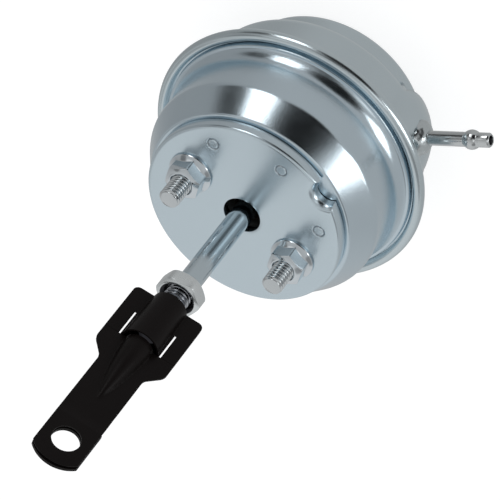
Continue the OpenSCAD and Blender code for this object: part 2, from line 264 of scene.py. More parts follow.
PLATE_ZINC = metal("zinc_plate", (0.67, 0.78, 0.845), 0.25, spread=0.02, bump=0.01)
paint_ring_groove_shade(PLATE_ZINC)

# %% [markdown]
# Light that enters a narrow bore hardly gets out again, so the nipple's bore, the jam nut's
# countersink and the rod's tip inside the link get painted shade: their colour is darkened
# by their distance from an axis, which the length of a cross product gives.

# %% Painted shade in bores
def paint_shade_round_axis(mat, point, axis, radius):
    """Blend the base colour to near black within a radius of an axis, as painted shade."""
    tree = mat.node_tree
    shader = tree.nodes["Principled BSDF"]
    off = vector_calc(tree, "SUBTRACT", object_place(tree), [c * MM for c in point])
    gap = vector_calc(tree, "LENGTH", vector_calc(tree, "CROSS_PRODUCT", off, axis), out="Value")
    ramp = add(tree.nodes, "ShaderNodeMapRange", From_Min=(radius - 0.1) * MM,
               From_Max=radius * MM, To_Min=0.0, To_Max=1.0)
    tree.links.new(gap, ramp.inputs["Value"])
    clean = shader.inputs["Base Color"].links[0].from_socket
    painted_shade = between(tree, ramp.outputs["Result"], (0.03, 0.03, 0.035), clean)
    tree.links.new(painted_shade, shader.inputs["Base Color"])


# painted shade in the jam nut's countersink, the nipple's bore and the rod's tip inside the link
paint_shade_round_axis(JAM_ZINC, (0, 0, 0), (0, 0, 1), 6.75)
paint_shade_round_axis(NIPPLE_STEEL, (0, 0, NIPPLE_Z), (math.cos(NIPPLE_ANGLE), math.sin(NIPPLE_ANGLE), 0), 1.78)
paint_shade_round_axis(ROD_THREAD_DARKENED, (0, 0, 76), (1, 0, 0), 14)

# %% [markdown]
# The link is steel with a thin black coat. It isn't quite black, has a soft sheen, and
# shows a faint orange peel where the light grazes it.

# %% Finish of the black link
BLACK, coat_nodes, coat_links = new_material("black_coat")
coat = coat_nodes["Principled BSDF"]
coat.inputs["Metallic"].default_value = 0.0
coat.inputs["Specular IOR Level"].default_value = 0.1
coat_place = coat_nodes.new("ShaderNodeTexCoord")
peel = add(coat_nodes, "ShaderNodeTexNoise", Scale=700.0, Detail=4.0, Roughness=0.65)
smear = add(coat_nodes, "ShaderNodeTexNoise", Scale=60.0, Detail=3.0, Roughness=0.5)
for noise in (peel, smear):
    coat_links.new(coat_place.outputs["Object"], noise.inputs["Vector"])
coat_tone = between(BLACK.node_tree, smear.outputs["Fac"],
                    (0.0050, 0.0036, 0.0035), (0.0085, 0.0066, 0.0064))
coat_links.new(coat_tone, coat.inputs["Base Color"])
sheen = add(coat_nodes, "ShaderNodeMapRange", From_Min=0.3, From_Max=0.7, To_Min=0.3, To_Max=0.42)
coat_links.new(smear.outputs["Fac"], sheen.inputs["Value"])
coat_links.new(sheen.outputs["Result"], coat.inputs["Roughness"])
peel_bump = add(coat_nodes, "ShaderNodeBump", Strength=0.18, Distance=0.0002)
coat_links.new(peel.outputs["Fac"], peel_bump.inputs["Height"])
coat_links.new(peel_bump.outputs["Normal"], coat.inputs["Normal"])

# %% [markdown]
# ## Front can
# On the real can a flat top carries the plate, a cone slopes out to the wall, and a wide
# hollow curve runs into a thin rib and the clamped flange. A lathe of the half section
# gives exactly that, and arcs with many steps keep the reflections from breaking up.

# %% Front can
CENTRE_HOLE_R = 8.75
TOP_EDGE_R = 1.3
cone_top_r = PLATE_R + 1.4
cone_h = 10.4
foot_r = 5.0
cone_a = math.degrees(math.atan2(CAN_R - cone_top_r, cone_h))
hollow_r, hollow_a = 7.5, 46.0
hollow_z = -29.2
rib_r = 48.915
top_c = (cone_top_r - TOP_EDGE_R * math.tan(math.radians(45 - cone_a / 2)), -PLATE_H - TOP_EDGE_R)
foot_c = (CAN_R - foot_r, -PLATE_H - cone_h - foot_r * math.tan(math.radians(cone_a / 2)))
front_section = [(CENTRE_HOLE_R, -PLATE_H - SHEET), (CENTRE_HOLE_R, -PLATE_H), (20, -PLATE_H),
                 (32, -PLATE_H)]
front_section += arc(top_c, TOP_EDGE_R, 90, cone_a, 10)
front_section += arc(foot_c, foot_r, cone_a, 0, 18)
front_section += [(CAN_R, z) for z in (-21, -24, -27)]
front_section += arc((CAN_R + hollow_r, hollow_z), hollow_r, 180, 180 + hollow_a, 22)
front_section += arc((rib_r, FLANGE_Z + 2.25), 0.9, 180 + hollow_a, 270, 8)
front_section += arc((rib_r, FLANGE_Z + 0.75), 0.6, 90, 0, 8)
front_section += [(49.55, -36.2), (49.62, -36.7), (49.8, -37.1), (51.9, -37.2), (51.9, FLANGE_Z - SHEET),
                  (46.5, FLANGE_Z - SHEET)]
front_section += [(44.9, -30), (44.8, -20), (38.8, -7), (38, -PLATE_H - SHEET),
                  (CENTRE_HOLE_R, -PLATE_H - SHEET)]
verts, faces = lathe(front_section, 320)
piece("front_can_skin", verts, faces, "canister", ZINC, ["front_can"])

# %% [markdown]
# ## Rear can
# The rear can steps in towards its flat end, and its flange is rolled over the front
# one. A low round boss swells out of the wall where the hose nipple enters. The boss is
# part of the same sheet, so the lathe's points are pushed out to it with a soft maximum,
# which leaves the small fillet that a press tool leaves.

# %% Rear can with its rolled seam and boss
def soft_max(a, b, k):
    """The larger of two values, with a fillet where they are within k of each other."""
    h = max(k - abs(a - b), 0.0)
    return max(a, b) + h * h / (4 * k)


BOSS_BALL_R = 26.5
BOSS_FLAT_R = 16.6
BOSS_FADE = 1.6
BOSS_MELT = 1.6


def boss_shape(shrink):
    """Shape for lathe() that pushes the wall out to a ball round the nipple's axis."""
    def shape(r, z, a):
        turn = (a - NIPPLE_ANGLE + math.pi) % (2 * math.pi) - math.pi
        if abs(turn) > 0.62 or z > -39.9 or z < -73:
            return r, z
        ball = BOSS_BALL_R - shrink
        mid = BOSS_TOP - BOSS_BALL_R
        rest = ball * ball - (mid * math.sin(turn)) ** 2 - (z - NIPPLE_Z) ** 2
        if rest <= 0:
            return r, z
        swell = mid * math.cos(turn) + math.sqrt(rest)
        off = math.hypot(swell * math.sin(turn), z - NIPPLE_Z)
        swell -= max(off - BOSS_FLAT_R, 0.0) ** 2 * BOSS_FADE
        return soft_max(r, swell, BOSS_MELT), z
    return shape


rear_z = FLANGE_Z - 3 * SHEET
step_c = (CAN_R - 6, BOTTOM_Z + 19.2)
end_c = (CAN_R - 12.2, BOTTOM_Z + 5)
roll_c = (SEAM_R - 2.4, FLANGE_Z + SHEET - 2.4)
skin = [(50.8, -37.1), (50.36, -37.0), (50.36, -36.3), (50.6, -36.02), (50.9, -35.65)]
skin += arc((51.9, FLANGE_Z + 0.2), 1.0, 135, 90, 8)
skin += arc(roll_c, 2.4, 90, -90, 40)
skin += [(50.5, rear_z), (49, rear_z)]
skin += arc((CAN_R + 1.5, rear_z - 1.5), 1.5, 90, 180, 8)
skin += [(CAN_R, z) for z in (-42.5, -44, -45.5, -47, -48.5, -50, -51.5, -53, -54.5)]
skin += arc(step_c, 6, 0, -84, 26)
skin += arc((CAN_R - 6.4, BOTTOM_Z + 12.3), 0.9, 90, 180, 6)
skin += [(CAN_R - 7.2, BOTTOM_Z + z) for z in (11, 10, 9, 8, 7, 6)]
skin += arc(end_c, 5, 0, -90, 24)
skin += [(28, BOTTOM_Z), (18, BOTTOM_Z), (8, BOTTOM_Z), (0.01, BOTTOM_Z)]
verts, faces = lathe(skin, 420, boss_shape(0))
lining = [(0.01, BOTTOM_Z + SHEET), (33, BOTTOM_Z + SHEET), (37.6, BOTTOM_Z + 5),
          (37.6, -60.8), (40, -60.8), (44.8, -56), (44.8, -38.65), (51.5, -38.65),
          (52, -38.6), (53.2, -37.4), (52, -37.1), (50.8, -37.1)]
inner_verts, inner_faces = lathe(lining, 420, boss_shape(SHEET))
shift = len(verts)
faces += [tuple(v + shift for v in face) for face in inner_faces]
piece("rear_can_skin", verts + inner_verts, faces, "canister", REAR_ZINC, ["rear_can"])

# %% [markdown]
# ## End plate
# The plate is a shallow cap with a turned-down rim. A half-round notch is nipped into
# the rim, and its upper edge is bent much softer than the rim's. The outline is a closed
# curve, and from each of its points a line of vertices runs straight in to a plain ring.
# The height comes from the distance to the rim and to the notch: the lower of the two
# bends counts, which leaves the sharp edge where the notch meets the rim.

# %% End plate
NOTCH_A = math.radians(64.2)
NOTCH_AT, NOTCH_R = 39.0, 5.1
NOTCH_X, NOTCH_Y = NOTCH_AT * math.cos(NOTCH_A), NOTCH_AT * math.sin(NOTCH_A)
NOTCH_POINTS = 120


def plate_outline(count):
    """Points of the notched rim, and the angle that each has on the plain inner rings."""
    half = math.acos((PLATE_R ** 2 + NOTCH_AT ** 2 - NOTCH_R ** 2) / (2 * PLATE_R * NOTCH_AT))
    plain = count - NOTCH_POINTS
    even = []
    for i in range(plain):
        u = i / plain
        u -= 0.85 * math.sin(2 * math.pi * u) / (2 * math.pi)
        even.append(NOTCH_A + half + (2 * math.pi - 2 * half) * u)
    points = [(PLATE_R * math.cos(a), PLATE_R * math.sin(a)) for a in even]
    open_a = math.acos((NOTCH_AT - PLATE_R * math.cos(half)) / NOTCH_R)
    for i in range(NOTCH_POINTS):
        side = 2 * i / NOTCH_POINTS - 1
        even.append(NOTCH_A + half * side)
        a = NOTCH_A + math.pi - open_a * side
        points.append((NOTCH_X + NOTCH_R * math.cos(a), NOTCH_Y + NOTCH_R * math.sin(a)))
    return points, even


def bend(distance, radius):
    """Height of a quarter-round edge, as far below the plate as the radius at its foot."""
    open_part = 1 - min(max(distance / radius, 0.0), 1.0)
    return -radius * (1 - math.sqrt(1 - open_part * open_part))


def plate_height(x, y):
    """Height of the plate's face: ring grooves first, then the rim's and the notch's bends."""
    for cx, cy in RINGS:
        share = abs(math.hypot(x - cx, y - cy) - RING_R) / RING_WIDTH
        if share < 1:
            return -RING_DEPTH * (1 + math.cos(math.pi * share)) / 2
    return min(bend(PLATE_R - math.hypot(x, y), 1.2),
               bend(math.hypot(x - NOTCH_X, y - NOTCH_Y) - NOTCH_R, 2.6))


COUNT = 760
PLAIN_R = 28
rim, even_angles = plate_outline(COUNT)
inner = [(PLAIN_R * math.cos(a), PLAIN_R * math.sin(a)) for a in even_angles]


def shifted(distance):
    """The outline moved in along the lines by a distance."""
    out = []
    for (x, y), (px, py) in zip(rim, inner):
        share = distance / math.hypot(px - x, py - y)
        out.append((x + (px - x) * share, y + (py - y) * share))
    return out


foot_row = [(x, y, -4.7) for x, y in shifted(0.4)]
verts = foot_row + [(x, y, -4.4) for x, y in rim] + [(x, y, -3.2) for x, y in rim]
rows = 3
near_rim = [0, 0.004, 0.014, 0.03, 0.052, 0.08, 0.12, 0.16, 0.21, 0.27, 0.34, 0.42, 0.48]
for k in near_rim + [0.5 + 0.5 * i / 30 for i in range(31)]:
    for (x, y), (px, py) in zip(rim, inner):
        px, py = x + (px - x) * k, y + (py - y) * k
        verts.append((px, py, plate_height(px, py)))
    rows += 1
for r, z in [(24, 0), (16, 0), (9, 0), (7.5, 0), (7.33, -0.07), (7.25, -0.25), (7.25, -2.0), (20, -2.0)]:
    verts += [(r * math.cos(a), r * math.sin(a), z) for a in even_angles]
    rows += 1
for z in (-3.0, -4.7):
    verts += [(x, y, z) for x, y in shifted(2.2)]
    rows += 1
verts += foot_row
faces = grid_faces(rows + 1, COUNT)
piece("end_plate_cap", verts, faces, "canister", PLATE_ZINC, ["end_plate"])

# %% [markdown]
# ## Threads with Geometry Nodes
# A thread repeats one small shape along a helix, which is a job for Geometry Nodes. A
# flat grid is rolled up: one way along it is the turning angle, the other way crosses a
# single ridge. Both ends are cut level by clamping the height, and the ridge is read
# from the clamped height, so the ends close cleanly. The same tree makes the stud and
# the rod threads from different named sizes.

# %% Thread tree
RIDGE_POINTS = 19


def thread_tree():
    tree = bpy.data.node_groups.new("rolled_thread", "GeometryNodeTree")
    face = tree.interface
    names = {"Major radius": 0.004, "Depth": 0.0008, "Pitch": 0.0014, "Base height": 0.0,
             "Length": 0.01, "Tip chamfer": 0.0008, "Blank radius": 0.0038, "Run out": 0.001}
    for name, value in names.items():
        socket = face.new_socket(name, in_out="INPUT", socket_type="NodeSocketFloat")
        socket.default_value = value
    steps = face.new_socket("Steps per turn", in_out="INPUT", socket_type="NodeSocketInt")
    steps.default_value = 64
    turns_in = face.new_socket("Turns", in_out="INPUT", socket_type="NodeSocketInt")
    turns_in.default_value = 12
    face.new_socket("Finish", in_out="INPUT", socket_type="NodeSocketMaterial")
    face.new_socket("Geometry", in_out="OUTPUT", socket_type="NodeSocketGeometry")
    nodes, links = tree.nodes, tree.links
    given = nodes.new("NodeGroupInput").outputs

    def step(operation, *values, clamp=False):
        return calc(tree, operation, *values, clamp=clamp)

    grid = nodes.new("GeometryNodeMeshGrid")
    along = step("MULTIPLY_ADD", given["Turns"], given["Steps per turn"], 1)
    links.new(along, grid.inputs["Vertices X"])
    grid.inputs["Vertices Y"].default_value = RIDGE_POINTS
    where = nodes.new("GeometryNodeInputPosition")
    split = nodes.new("ShaderNodeSeparateXYZ")
    links.new(where.outputs[0], split.inputs[0])
    turn = step("MULTIPLY", step("ADD", split.outputs["X"], 0.5), given["Turns"])
    across = step("ADD", split.outputs["Y"], 0.5)
    rise = step("SUBTRACT", step("ADD", turn, across), 1)
    height = step("MULTIPLY", rise, given["Pitch"])
    height = step("MINIMUM", step("MAXIMUM", height, 0), given["Length"])
    phase = step("SUBTRACT", step("DIVIDE", height, given["Pitch"]), turn)
    phase = step("FRACT", step("ADD", phase, 1000))
    ridge = step("SUBTRACT", 1, step("ABSOLUTE", step("MULTIPLY_ADD", phase, 2, -1)))
    ridge = step("MULTIPLY_ADD", ridge, 1.2, -0.1, clamp=True)
    ridge = step("MULTIPLY", step("MULTIPLY", ridge, ridge), step("MULTIPLY_ADD", ridge, -2, 3))
    cut = step("MULTIPLY_ADD", step("SUBTRACT", ridge, 1), given["Depth"], given["Major radius"])
    fade = step("DIVIDE", height, given["Run out"], clamp=True)
    blank = step("MULTIPLY", given["Blank radius"], step("SUBTRACT", 1, fade))
    smooth = step("ADD", step("MULTIPLY", cut, fade), blank)
    tip = step("SUBTRACT", given["Length"], given["Tip chamfer"])
    over = step("MAXIMUM", step("SUBTRACT", height, tip), 0)
    radius = step("MINIMUM", smooth, step("SUBTRACT", given["Major radius"], over))
    angle = step("MULTIPLY", turn, 2 * math.pi)
    join = nodes.new("ShaderNodeCombineXYZ")
    links.new(step("MULTIPLY", radius, step("COSINE", angle)), join.inputs["X"])
    links.new(step("MULTIPLY", radius, step("SINE", angle)), join.inputs["Y"])
    links.new(step("ADD", height, given["Base height"]), join.inputs["Z"])
    put = nodes.new("GeometryNodeSetPosition")
    links.new(grid.outputs["Mesh"], put.inputs["Geometry"])
    links.new(join.outputs[0], put.inputs["Position"])
    weld = nodes.new("GeometryNodeMergeByDistance")
    weld.inputs["Distance"].default_value = 2e-6
    coat_it = nodes.new("GeometryNodeSetMaterial")
    out = nodes.new("NodeGroupOutput")
    links.new(put.outputs[0], weld.inputs[0])
    links.new(weld.outputs[0], coat_it.inputs["Geometry"])
    links.new(given["Finish"], coat_it.inputs["Material"])
    links.new(coat_it.outputs[0], out.inputs["Geometry"])
    return tree


THREAD_TREE = thread_tree()


def thread_mesh(sizes, finish, steps=64):
    """Run the tree once and return its result as plain mesh data."""
    holder = in_scene("thread_blank", bpy.data.meshes.new("thread_blank"))
    modifier = holder.modifiers.new("thread", "NODES")
    modifier.node_group = THREAD_TREE
    for item in THREAD_TREE.interface.items_tree:
        if item.item_type != "SOCKET" or item.in_out != "INPUT":
            continue
        if item.name in sizes:
            modifier[item.identifier] = sizes[item.name] * MM
        elif item.name == "Steps per turn":
            modifier[item.identifier] = steps
        elif item.name == "Turns":
            modifier[item.identifier] = int(sizes["Length"] / sizes["Pitch"]) + 3
        elif item.name == "Finish":
            modifier[item.identifier] = finish
    ready = holder.evaluated_get(bpy.context.evaluated_depsgraph_get())
    mesh = bpy.data.meshes.new_from_object(ready)
    bpy.data.objects.remove(holder)
    return mesh


def closed(mesh, x=0.0):
    """Fill the open ends and move the thread along X into its place."""
    bm = bmesh.new()
    bm.from_mesh(mesh)
    bmesh.ops.remove_doubles(bm, verts=bm.verts, dist=3e-6)
    open_edges = [e for e in bm.edges if e.is_boundary]
    bmesh.ops.holes_fill(bm, edges=open_edges, sides=0)
    bmesh.ops.translate(bm, verts=bm.verts, vec=(x * MM, 0, 0))
    bm.to_mesh(mesh)
    bm.free()
    return mesh


# %% Studs
SEAT_Z = -PLATE_H - SHEET
stud_section = [(0.01, SEAT_Z - 2.2), (4.8, SEAT_Z - 2.2), (5.8, SEAT_Z - 1.2), (5.8, SEAT_Z),
                (3.85, SEAT_Z), (3.85, -PLATE_H), (6.5, -PLATE_H), (6.5, -2), (3.85, -2),
                (3.85, 0.9), (3.0, 1.0)]
for side, name in ((-1, "left"), (1, "right")):
    verts, faces = lathe(stud_section, 96)
    piece(f"stud_shank_{name}", [(x + side * STUD_X, y, z) for x, y, z in verts], faces,
          "canister", THREAD_ZINC, [f"stud_{name}"])
    stud = closed(thread_mesh({"Major radius": 3.95, "Depth": 0.82, "Pitch": 1.411,
                               "Base height": 0.5, "Length": 16.2, "Tip chamfer": 0.55,
                               "Blank radius": 3.9, "Run out": 0.5}, THREAD_ZINC), side * STUD_X)
    settle(f"stud_thread_{name}", stud, "canister", THREAD_ZINC, sharp=58)

# %% [markdown]
# ## Nuts
# A hexagon nut is a hexagon cut by a cone at each end. Walking round the nut in small
# steps, both the hexagon's radius and the height where the cone meets it are simple
# functions of the angle, so a nut is one loft of rows. The curved edge that the cone
# leaves on each flat, which a plain prism lacks, comes out by itself.

# %% Helper: hexagon nut
def hex_radius(a, flats, blunt):
    """Distance from the nut's axis to its side, with the corners blunted."""
    fold = (a + math.pi / 6) % (math.pi / 3) - math.pi / 6
    sharp = flats / 2 / math.cos(fold)
    return -soft_max(-sharp, blunt - flats / 2 / math.cos(math.pi / 6), blunt)


def nut_mesh(flats, height, bore, center, base_z, turn, face_r, sink, blunt, flange=None, steps=216):
    """Rows from the bore's foot, round the outside, back to the bore; h is the side's radius."""
    cone = math.tan(math.radians(30))
    both = flange is None

    def top_at(r):
        return height - 0.06 - max(r - face_r, 0) * cone

    def low_at(r):
        return max(r - face_r, 0) * cone + 0.06 if both else 0.0

    def flange_at(r):
        return 1.0 + max(flange - r, 0) * 0.6

    rows = [lambda h: (bore + 0.02, 0.5), lambda h: (bore + 0.5, 0.0)]
    if flange:
        rows += [lambda h: (flange - 0.3, 0.0), lambda h: (flange, 0.3), lambda h: (flange, 0.75),
                 lambda h: (flange - 0.12, 0.95), lambda h: (flange - 0.35, 1.08),
                 lambda h: ((flange + h) / 2, flange_at((flange + h) / 2)),
                 lambda h: (h + 0.25, flange_at(h + 0.2)), lambda h: (h + 0.04, flange_at(h) + 0.12),
                 lambda h: (h, flange_at(h) + 0.4)]
    else:
        rows += [lambda h: (face_r - 0.1, 0.0), lambda h: (face_r, low_at(face_r)),
                 lambda h: (h - 0.08, low_at(h - 0.08)), lambda h: (h, low_at(h) + 0.1)]
    rows += [lambda h: (h, top_at(h) - 0.12), lambda h: (h - 0.03, top_at(h) - 0.02),
             lambda h: (h - 0.12, top_at(h - 0.12)), lambda h: (min(h, face_r + 0.02), top_at(face_r)),
             lambda h: (face_r - 0.12, height), lambda h: (bore + sink, height),
             lambda h: (bore + sink - 0.12, height - 0.06),
             lambda h: (bore + 0.02, height - 1.1 * sink), lambda h: (bore + 0.02, 0.5)]
    verts = []
    for row in rows:
        for i in range(steps):
            a = 2 * math.pi * i / steps
            r, z = row(hex_radius(a, flats, blunt))
            verts.append((center + r * math.cos(a + turn), r * math.sin(a + turn), base_z + z))
    return verts, grid_faces(len(rows), steps)


# %% Flange nuts and jam nut
for side, name in ((-1, "left"), (1, "right")):
    verts, faces = nut_mesh(12.7, 7.8, 4.0, side * STUD_X, 0.0, math.radians(16), 5.1, 0.6, 0.12, 8.4)
    piece(f"flange_nut_{name}_bright", verts, faces, "canister", NUT_BRIGHT,
          [f"flange_nut_{name}"], sharp=24)
verts, faces = nut_mesh(15.7, 6.0, 4.8, 0.0, 42.9, math.radians(-10), 7.25, 2.0, 0.5)
piece("jam_nut_bright", verts, faces, "jam_nut", JAM_ZINC, ["jam_nut"], sharp=24)

# %% [markdown]
# ## Rod
# The rod is drawn bar. Its thread is rolled, which pushes metal outwards, so the crests
# stand a little proud of the smooth shank and the roots lie a little below it.

# %% Rod
shank = [(0.01, -73.5), (3.0, -73.5), (3.3, -73.2), (3.3, -56.2), (4.2, -56.2), (4.2, -20),
         (4.2, 0), (4.2, 20), (4.2, 43.4), (3.0, 43.5)]
verts, faces = lathe(shank, 128)
piece("rod_shank", verts, faces, "rod", ROD_ZINC, ["actuator_rod"])
rod_thread = closed(thread_mesh({"Major radius": 4.75, "Depth": 0.95, "Pitch": 1.5875,
                                 "Base height": 43.2, "Length": 28.4, "Tip chamfer": 1.0,
                                 "Blank radius": 4.2, "Run out": 1.6}, ROD_THREAD_DARKENED, 72))
settle("rod_thread", rod_thread, "rod", ROD_THREAD_DARKENED, sharp=58)

# %% [markdown]
# ## Hose nipple
# A thin tube with a rolled bead near its end, brazed into the boss. The braze metal
# wetted both pieces and froze in a lumpy collar, so its radius wanders with the angle.

# %% Nipple and braze collar
def toward_nipple(verts):
    """Turn a lathe about Z so that its axis is the nipple's."""
    c, s = math.cos(NIPPLE_ANGLE), math.sin(NIPPLE_ANGLE)
    return [(z * c - y * s, z * s + y * c, NIPPLE_Z - x) for x, y, z in verts]


reach = BOSS_TOP + 27.0
tube = [(1.7, 46), (2.7, 46), (2.7, 60), (2.7, reach - 10.2), (2.72, reach - 10.2)]
tube += arc((0.0, reach - 7.5), 3.65, -41, 41, 22)
tube += [(2.72, reach - 4.9), (2.7, reach - 4.5), (2.7, reach - 0.65), (2.62, reach - 0.5),
         (2.25, reach - 0.06), (2.15, reach), (1.8, reach), (1.7, reach - 0.15), (1.7, 46)]
verts, faces = lathe(tube, 96)
piece("hose_nipple_tube", toward_nipple(verts), faces, "canister", NIPPLE_STEEL,
      ["hose_nipple"], sharp=40)


def lumpy(r, z, a):
    share = (r - 2.7) / 4
    wave = 0.35 * math.sin(2 * a + 0.6) + 0.22 * math.sin(5 * a + z * 2.1) + 0.12 * math.sin(9 * a - z * 3)
    return r + share * wave - 0.3 * share, z


collar = [(2.6, 48.0), (6.5, 48.0), (6.55, 48.8), (6.3, 49.4), (5.9, 49.9), (5.5, 50.3), (5.1, 50.8),
          (4.6, 51.2), (4.1, 51.5), (3.6, 51.75), (3.2, 51.9), (2.95, 51.98), (2.7, 52.0), (2.6, 51.5)]
verts, faces = lathe(collar, 120, lumpy)
piece("braze_collar_lumps", toward_nipple(verts), faces, "canister", BRAZE, ["braze_collar"])

# %% [markdown]
# ## Black link
# The link is one stamping. Seen from the front it is a height field: for each place
# across and along it there is one height, which is flat on the wings, half round over
# the rod, and an ogive beyond it. So its front is a grid whose columns follow the
# outline, and the sheet's thickness is added behind. The columns have fixed places at
# the slits, which lets the slits be left out as whole cells.

# %% Black link
WING, SHANK, CORNER = 13.7, 8.6, 2.2
SADDLE_LEN = 21.6
SADDLE_TOP = LINK_Z + SADDLE_LEN
SLIT_Z = LINK_Z + 10.4
SLIT_IN, SLIT_OUT = 7.7, 8.3
HALF_T = 0.75
DOUBLED = 9.4
END_R, END_DROP = 11.8, 1.2
EYE_R = 5.0


def half_width(z):
    """Half the link's width at a height."""
    if z < LINK_Z + CORNER:
        return WING - CORNER + math.sqrt(max(CORNER ** 2 - (LINK_Z + CORNER - z) ** 2, 0))
    if z < LINK_Z + 27:
        return WING
    if z < LINK_Z + 29:
        return WING - 0.8 * ((z - LINK_Z - 27) / 2) ** 1.5
    if z < LINK_Z + 33.6:
        return WING - 0.8 - (WING - 0.8 - SHANK - 0.6) * (z - LINK_Z - 29) / 4.6
    if z < LINK_Z + 35.6:
        return SHANK + 0.6 * (1 - (z - LINK_Z - 33.6) / 2) ** 1.8
    return min(SHANK, math.sqrt(max(END_R ** 2 - max(z - EYE_Z + END_DROP, 0) ** 2, 0)))


def front_height(u, z):
    """Height of the link's front at u across it: the saddle, then the ogive beyond it."""
    if z <= SADDLE_TOP + 0.001:
        r = 6.5 + 0.8 * (z - LINK_Z) / SADDLE_LEN
        melt = 1.4
    else:
        t = min((z - SADDLE_TOP) / 31, 1)
        r = 5.3 * (1 - t ** 1.7)
        melt = 0.5
    height = soft_max(HALF_T, math.sqrt(max(r * r - u * u, 0)), melt)
    if z > EYE_Z - DOUBLED:
        height += 0.15 * min((z - EYE_Z + DOUBLED) / 0.5, 1)
    return height


inner_cols = [-8.6, -8.3, -8.0, -7.7] + [7.5 * math.sin(math.pi / 2 * k / 22) for k in range(-22, 23)]
inner_cols += [7.7, 8.0, 8.3, 8.6]
outer_share = [k / 6 for k in range(1, 7)]


def columns(z):
    """Places across the link at a height, from edge to edge."""
    w = half_width(z)
    if w >= SHANK:
        wings = [SHANK + (w - SHANK) * k for k in outer_share]
        return [-x for x in wings[::-1]] + inner_cols + wings
    squeeze = w / SHANK
    return [-w] * 6 + [u * squeeze for u in inner_cols] + [w] * 6


heights = [LINK_Z + CORNER * (1 - math.cos(math.pi / 2 * k / 7)) for k in range(8)]
heights += [LINK_Z + z for z in (3.5, 5, 6.5, 8, 9.2)] + [SLIT_Z]
heights += [SLIT_Z + (SADDLE_TOP - SLIT_Z) * k / 8 for k in range(1, 9)]
upper = [SADDLE_TOP + 0.02] + [SADDLE_TOP + 31.5 * k / 46 for k in range(1, 47)]
upper += [EYE_Z - 17, EYE_Z - 13, EYE_Z - DOUBLED, EYE_Z - 8.9]
upper += [EYE_Z - 8.9 + 14.3 * k / 24 for k in range(1, 25)]
upper += [EYE_Z - END_DROP + END_R * math.sin(math.radians(34.5 + 55.4 * k / 14)) for k in range(1, 15)]


def link_skin(zs, verts, faces, slits):
    """One grid of the front skin, appended to verts and faces."""
    rows = [columns(z) for z in zs]
    width = len(rows[0])
    start = len(verts)
    for z, row in zip(zs, rows):
        verts.extend((u, front_height(u, z), z) for u in row)
    for j in range(len(zs) - 1):
        for i in range(width - 1):
            mid = abs(rows[j][i] + rows[j][i + 1]) / 2
            if slits and SLIT_IN < mid < SLIT_OUT and zs[j] >= SLIT_Z - 0.01:
                continue
            a = start + j * width + i
            faces.append((a, a + 1, a + width + 1, a + width))


link_verts, link_faces = [], []
link_skin(heights, link_verts, link_faces, True)
link_skin(upper, link_verts, link_faces, False)
link_mesh = bpy.data.meshes.new("link_front")
link_mesh.from_pydata([(x * MM, y * MM, z * MM) for x, y, z in link_verts], [], link_faces)

# %% [markdown]
# The flat parts of the two grids are joined where the saddle ends, but the saddle's own
# edge stays open: on the real link it was sheared there, and the gap shows as a black
# crescent. Only vertices that coincide are merged, so the step takes care of itself.

# %% Give the link its thickness, eye and edges
def finished_link(mesh):
    bm = bmesh.new()
    bm.from_mesh(mesh)
    bmesh.ops.remove_doubles(bm, verts=bm.verts, dist=3e-5)
    bmesh.ops.dissolve_degenerate(bm, edges=bm.edges, dist=1e-6)
    bmesh.ops.recalc_face_normals(bm, faces=bm.faces)
    if sum(f.normal.y for f in bm.faces) < 0:
        bmesh.ops.reverse_faces(bm, faces=bm.faces)
    bm.to_mesh(mesh)
    bm.free()
    holder = in_scene("link_blank", mesh)
    thick = holder.modifiers.new("sheet", "SOLIDIFY")
    thick.thickness = 2 * HALF_T * MM
    thick.offset = -1.0
    thick.use_even_offset = True
    thick.thickness_clamp = 0.9
    drill_mesh = bpy.data.meshes.new("eye_drill")
    bm = bmesh.new()
    bmesh.ops.create_cone(bm, cap_ends=True, segments=128, radius1=EYE_R * MM, radius2=EYE_R * MM,
                          depth=20 * MM, matrix=Matrix.Translation((0, 0, EYE_Z * MM))
                          @ Matrix.Rotation(math.pi / 2, 4, "X"))
    bm.to_mesh(drill_mesh)
    bm.free()
    drill = in_scene("eye_drill", drill_mesh)
    hole = holder.modifiers.new("eye", "BOOLEAN")
    hole.object = drill
    hole.operation = "DIFFERENCE"
    hole.solver = "EXACT"
    soft = holder.modifiers.new("edges", "BEVEL")
    soft.width = 0.22 * MM
    soft.segments = 2
    soft.limit_method = "ANGLE"
    soft.angle_limit = math.radians(50)
    ready = holder.evaluated_get(bpy.context.evaluated_depsgraph_get())
    result = bpy.data.meshes.new_from_object(ready)
    bpy.data.objects.remove(holder)
    bpy.data.objects.remove(drill)
    return result


link_body = finished_link(link_mesh)
link_body.transform(Matrix.Rotation(LINK_ANGLE, 4, "Z"))
settle("rod_end_link", link_body, "rod_end", BLACK, ["rod_end"], sharp=38)

# %% [markdown]
# Behind the wings a half-round strap closes the tunnel that the rod screws into, and
# the eye end is doubled: a second layer of sheet lies flat behind the first.

# %% Strap behind the rod, and the doubled eye
strap_verts = []
profile = [(6.42, LINK_Z), (6.5, LINK_Z + 0.1), (7.3, SADDLE_TOP - 0.1), (7.2, SADDLE_TOP),
           (5.75, SADDLE_TOP), (5.6, SADDLE_TOP - 0.15), (5.0, LINK_Z + 0.15), (5.12, LINK_Z), (6.42, LINK_Z)]
span = 61
for r, z in profile:
    for i in range(span):
        a = math.pi * (1 + i / (span - 1)) + LINK_ANGLE
        strap_verts.append((r * math.cos(a), r * math.sin(a), z))
strap_faces = grid_faces(len(profile), span, wrap=False)
piece("rod_end_strap", strap_verts, strap_faces, "rod_end", BLACK)

ring_front, ring_back = -0.6, -2.1
pad_verts = []
hole_steps = 96


def eye_outline(a):
    """Distance from the eye's middle to the link's outline at angle a."""
    c, s = math.cos(a), math.sin(a)
    best = 40.0
    if abs(c) > 1e-6:
        best = min(best, SHANK / abs(c))
    if s < -1e-6:
        best = min(best, 9.3 / -s)
    half = -END_DROP * s
    return min(best, half + math.sqrt(half * half + END_R ** 2 - END_DROP ** 2))


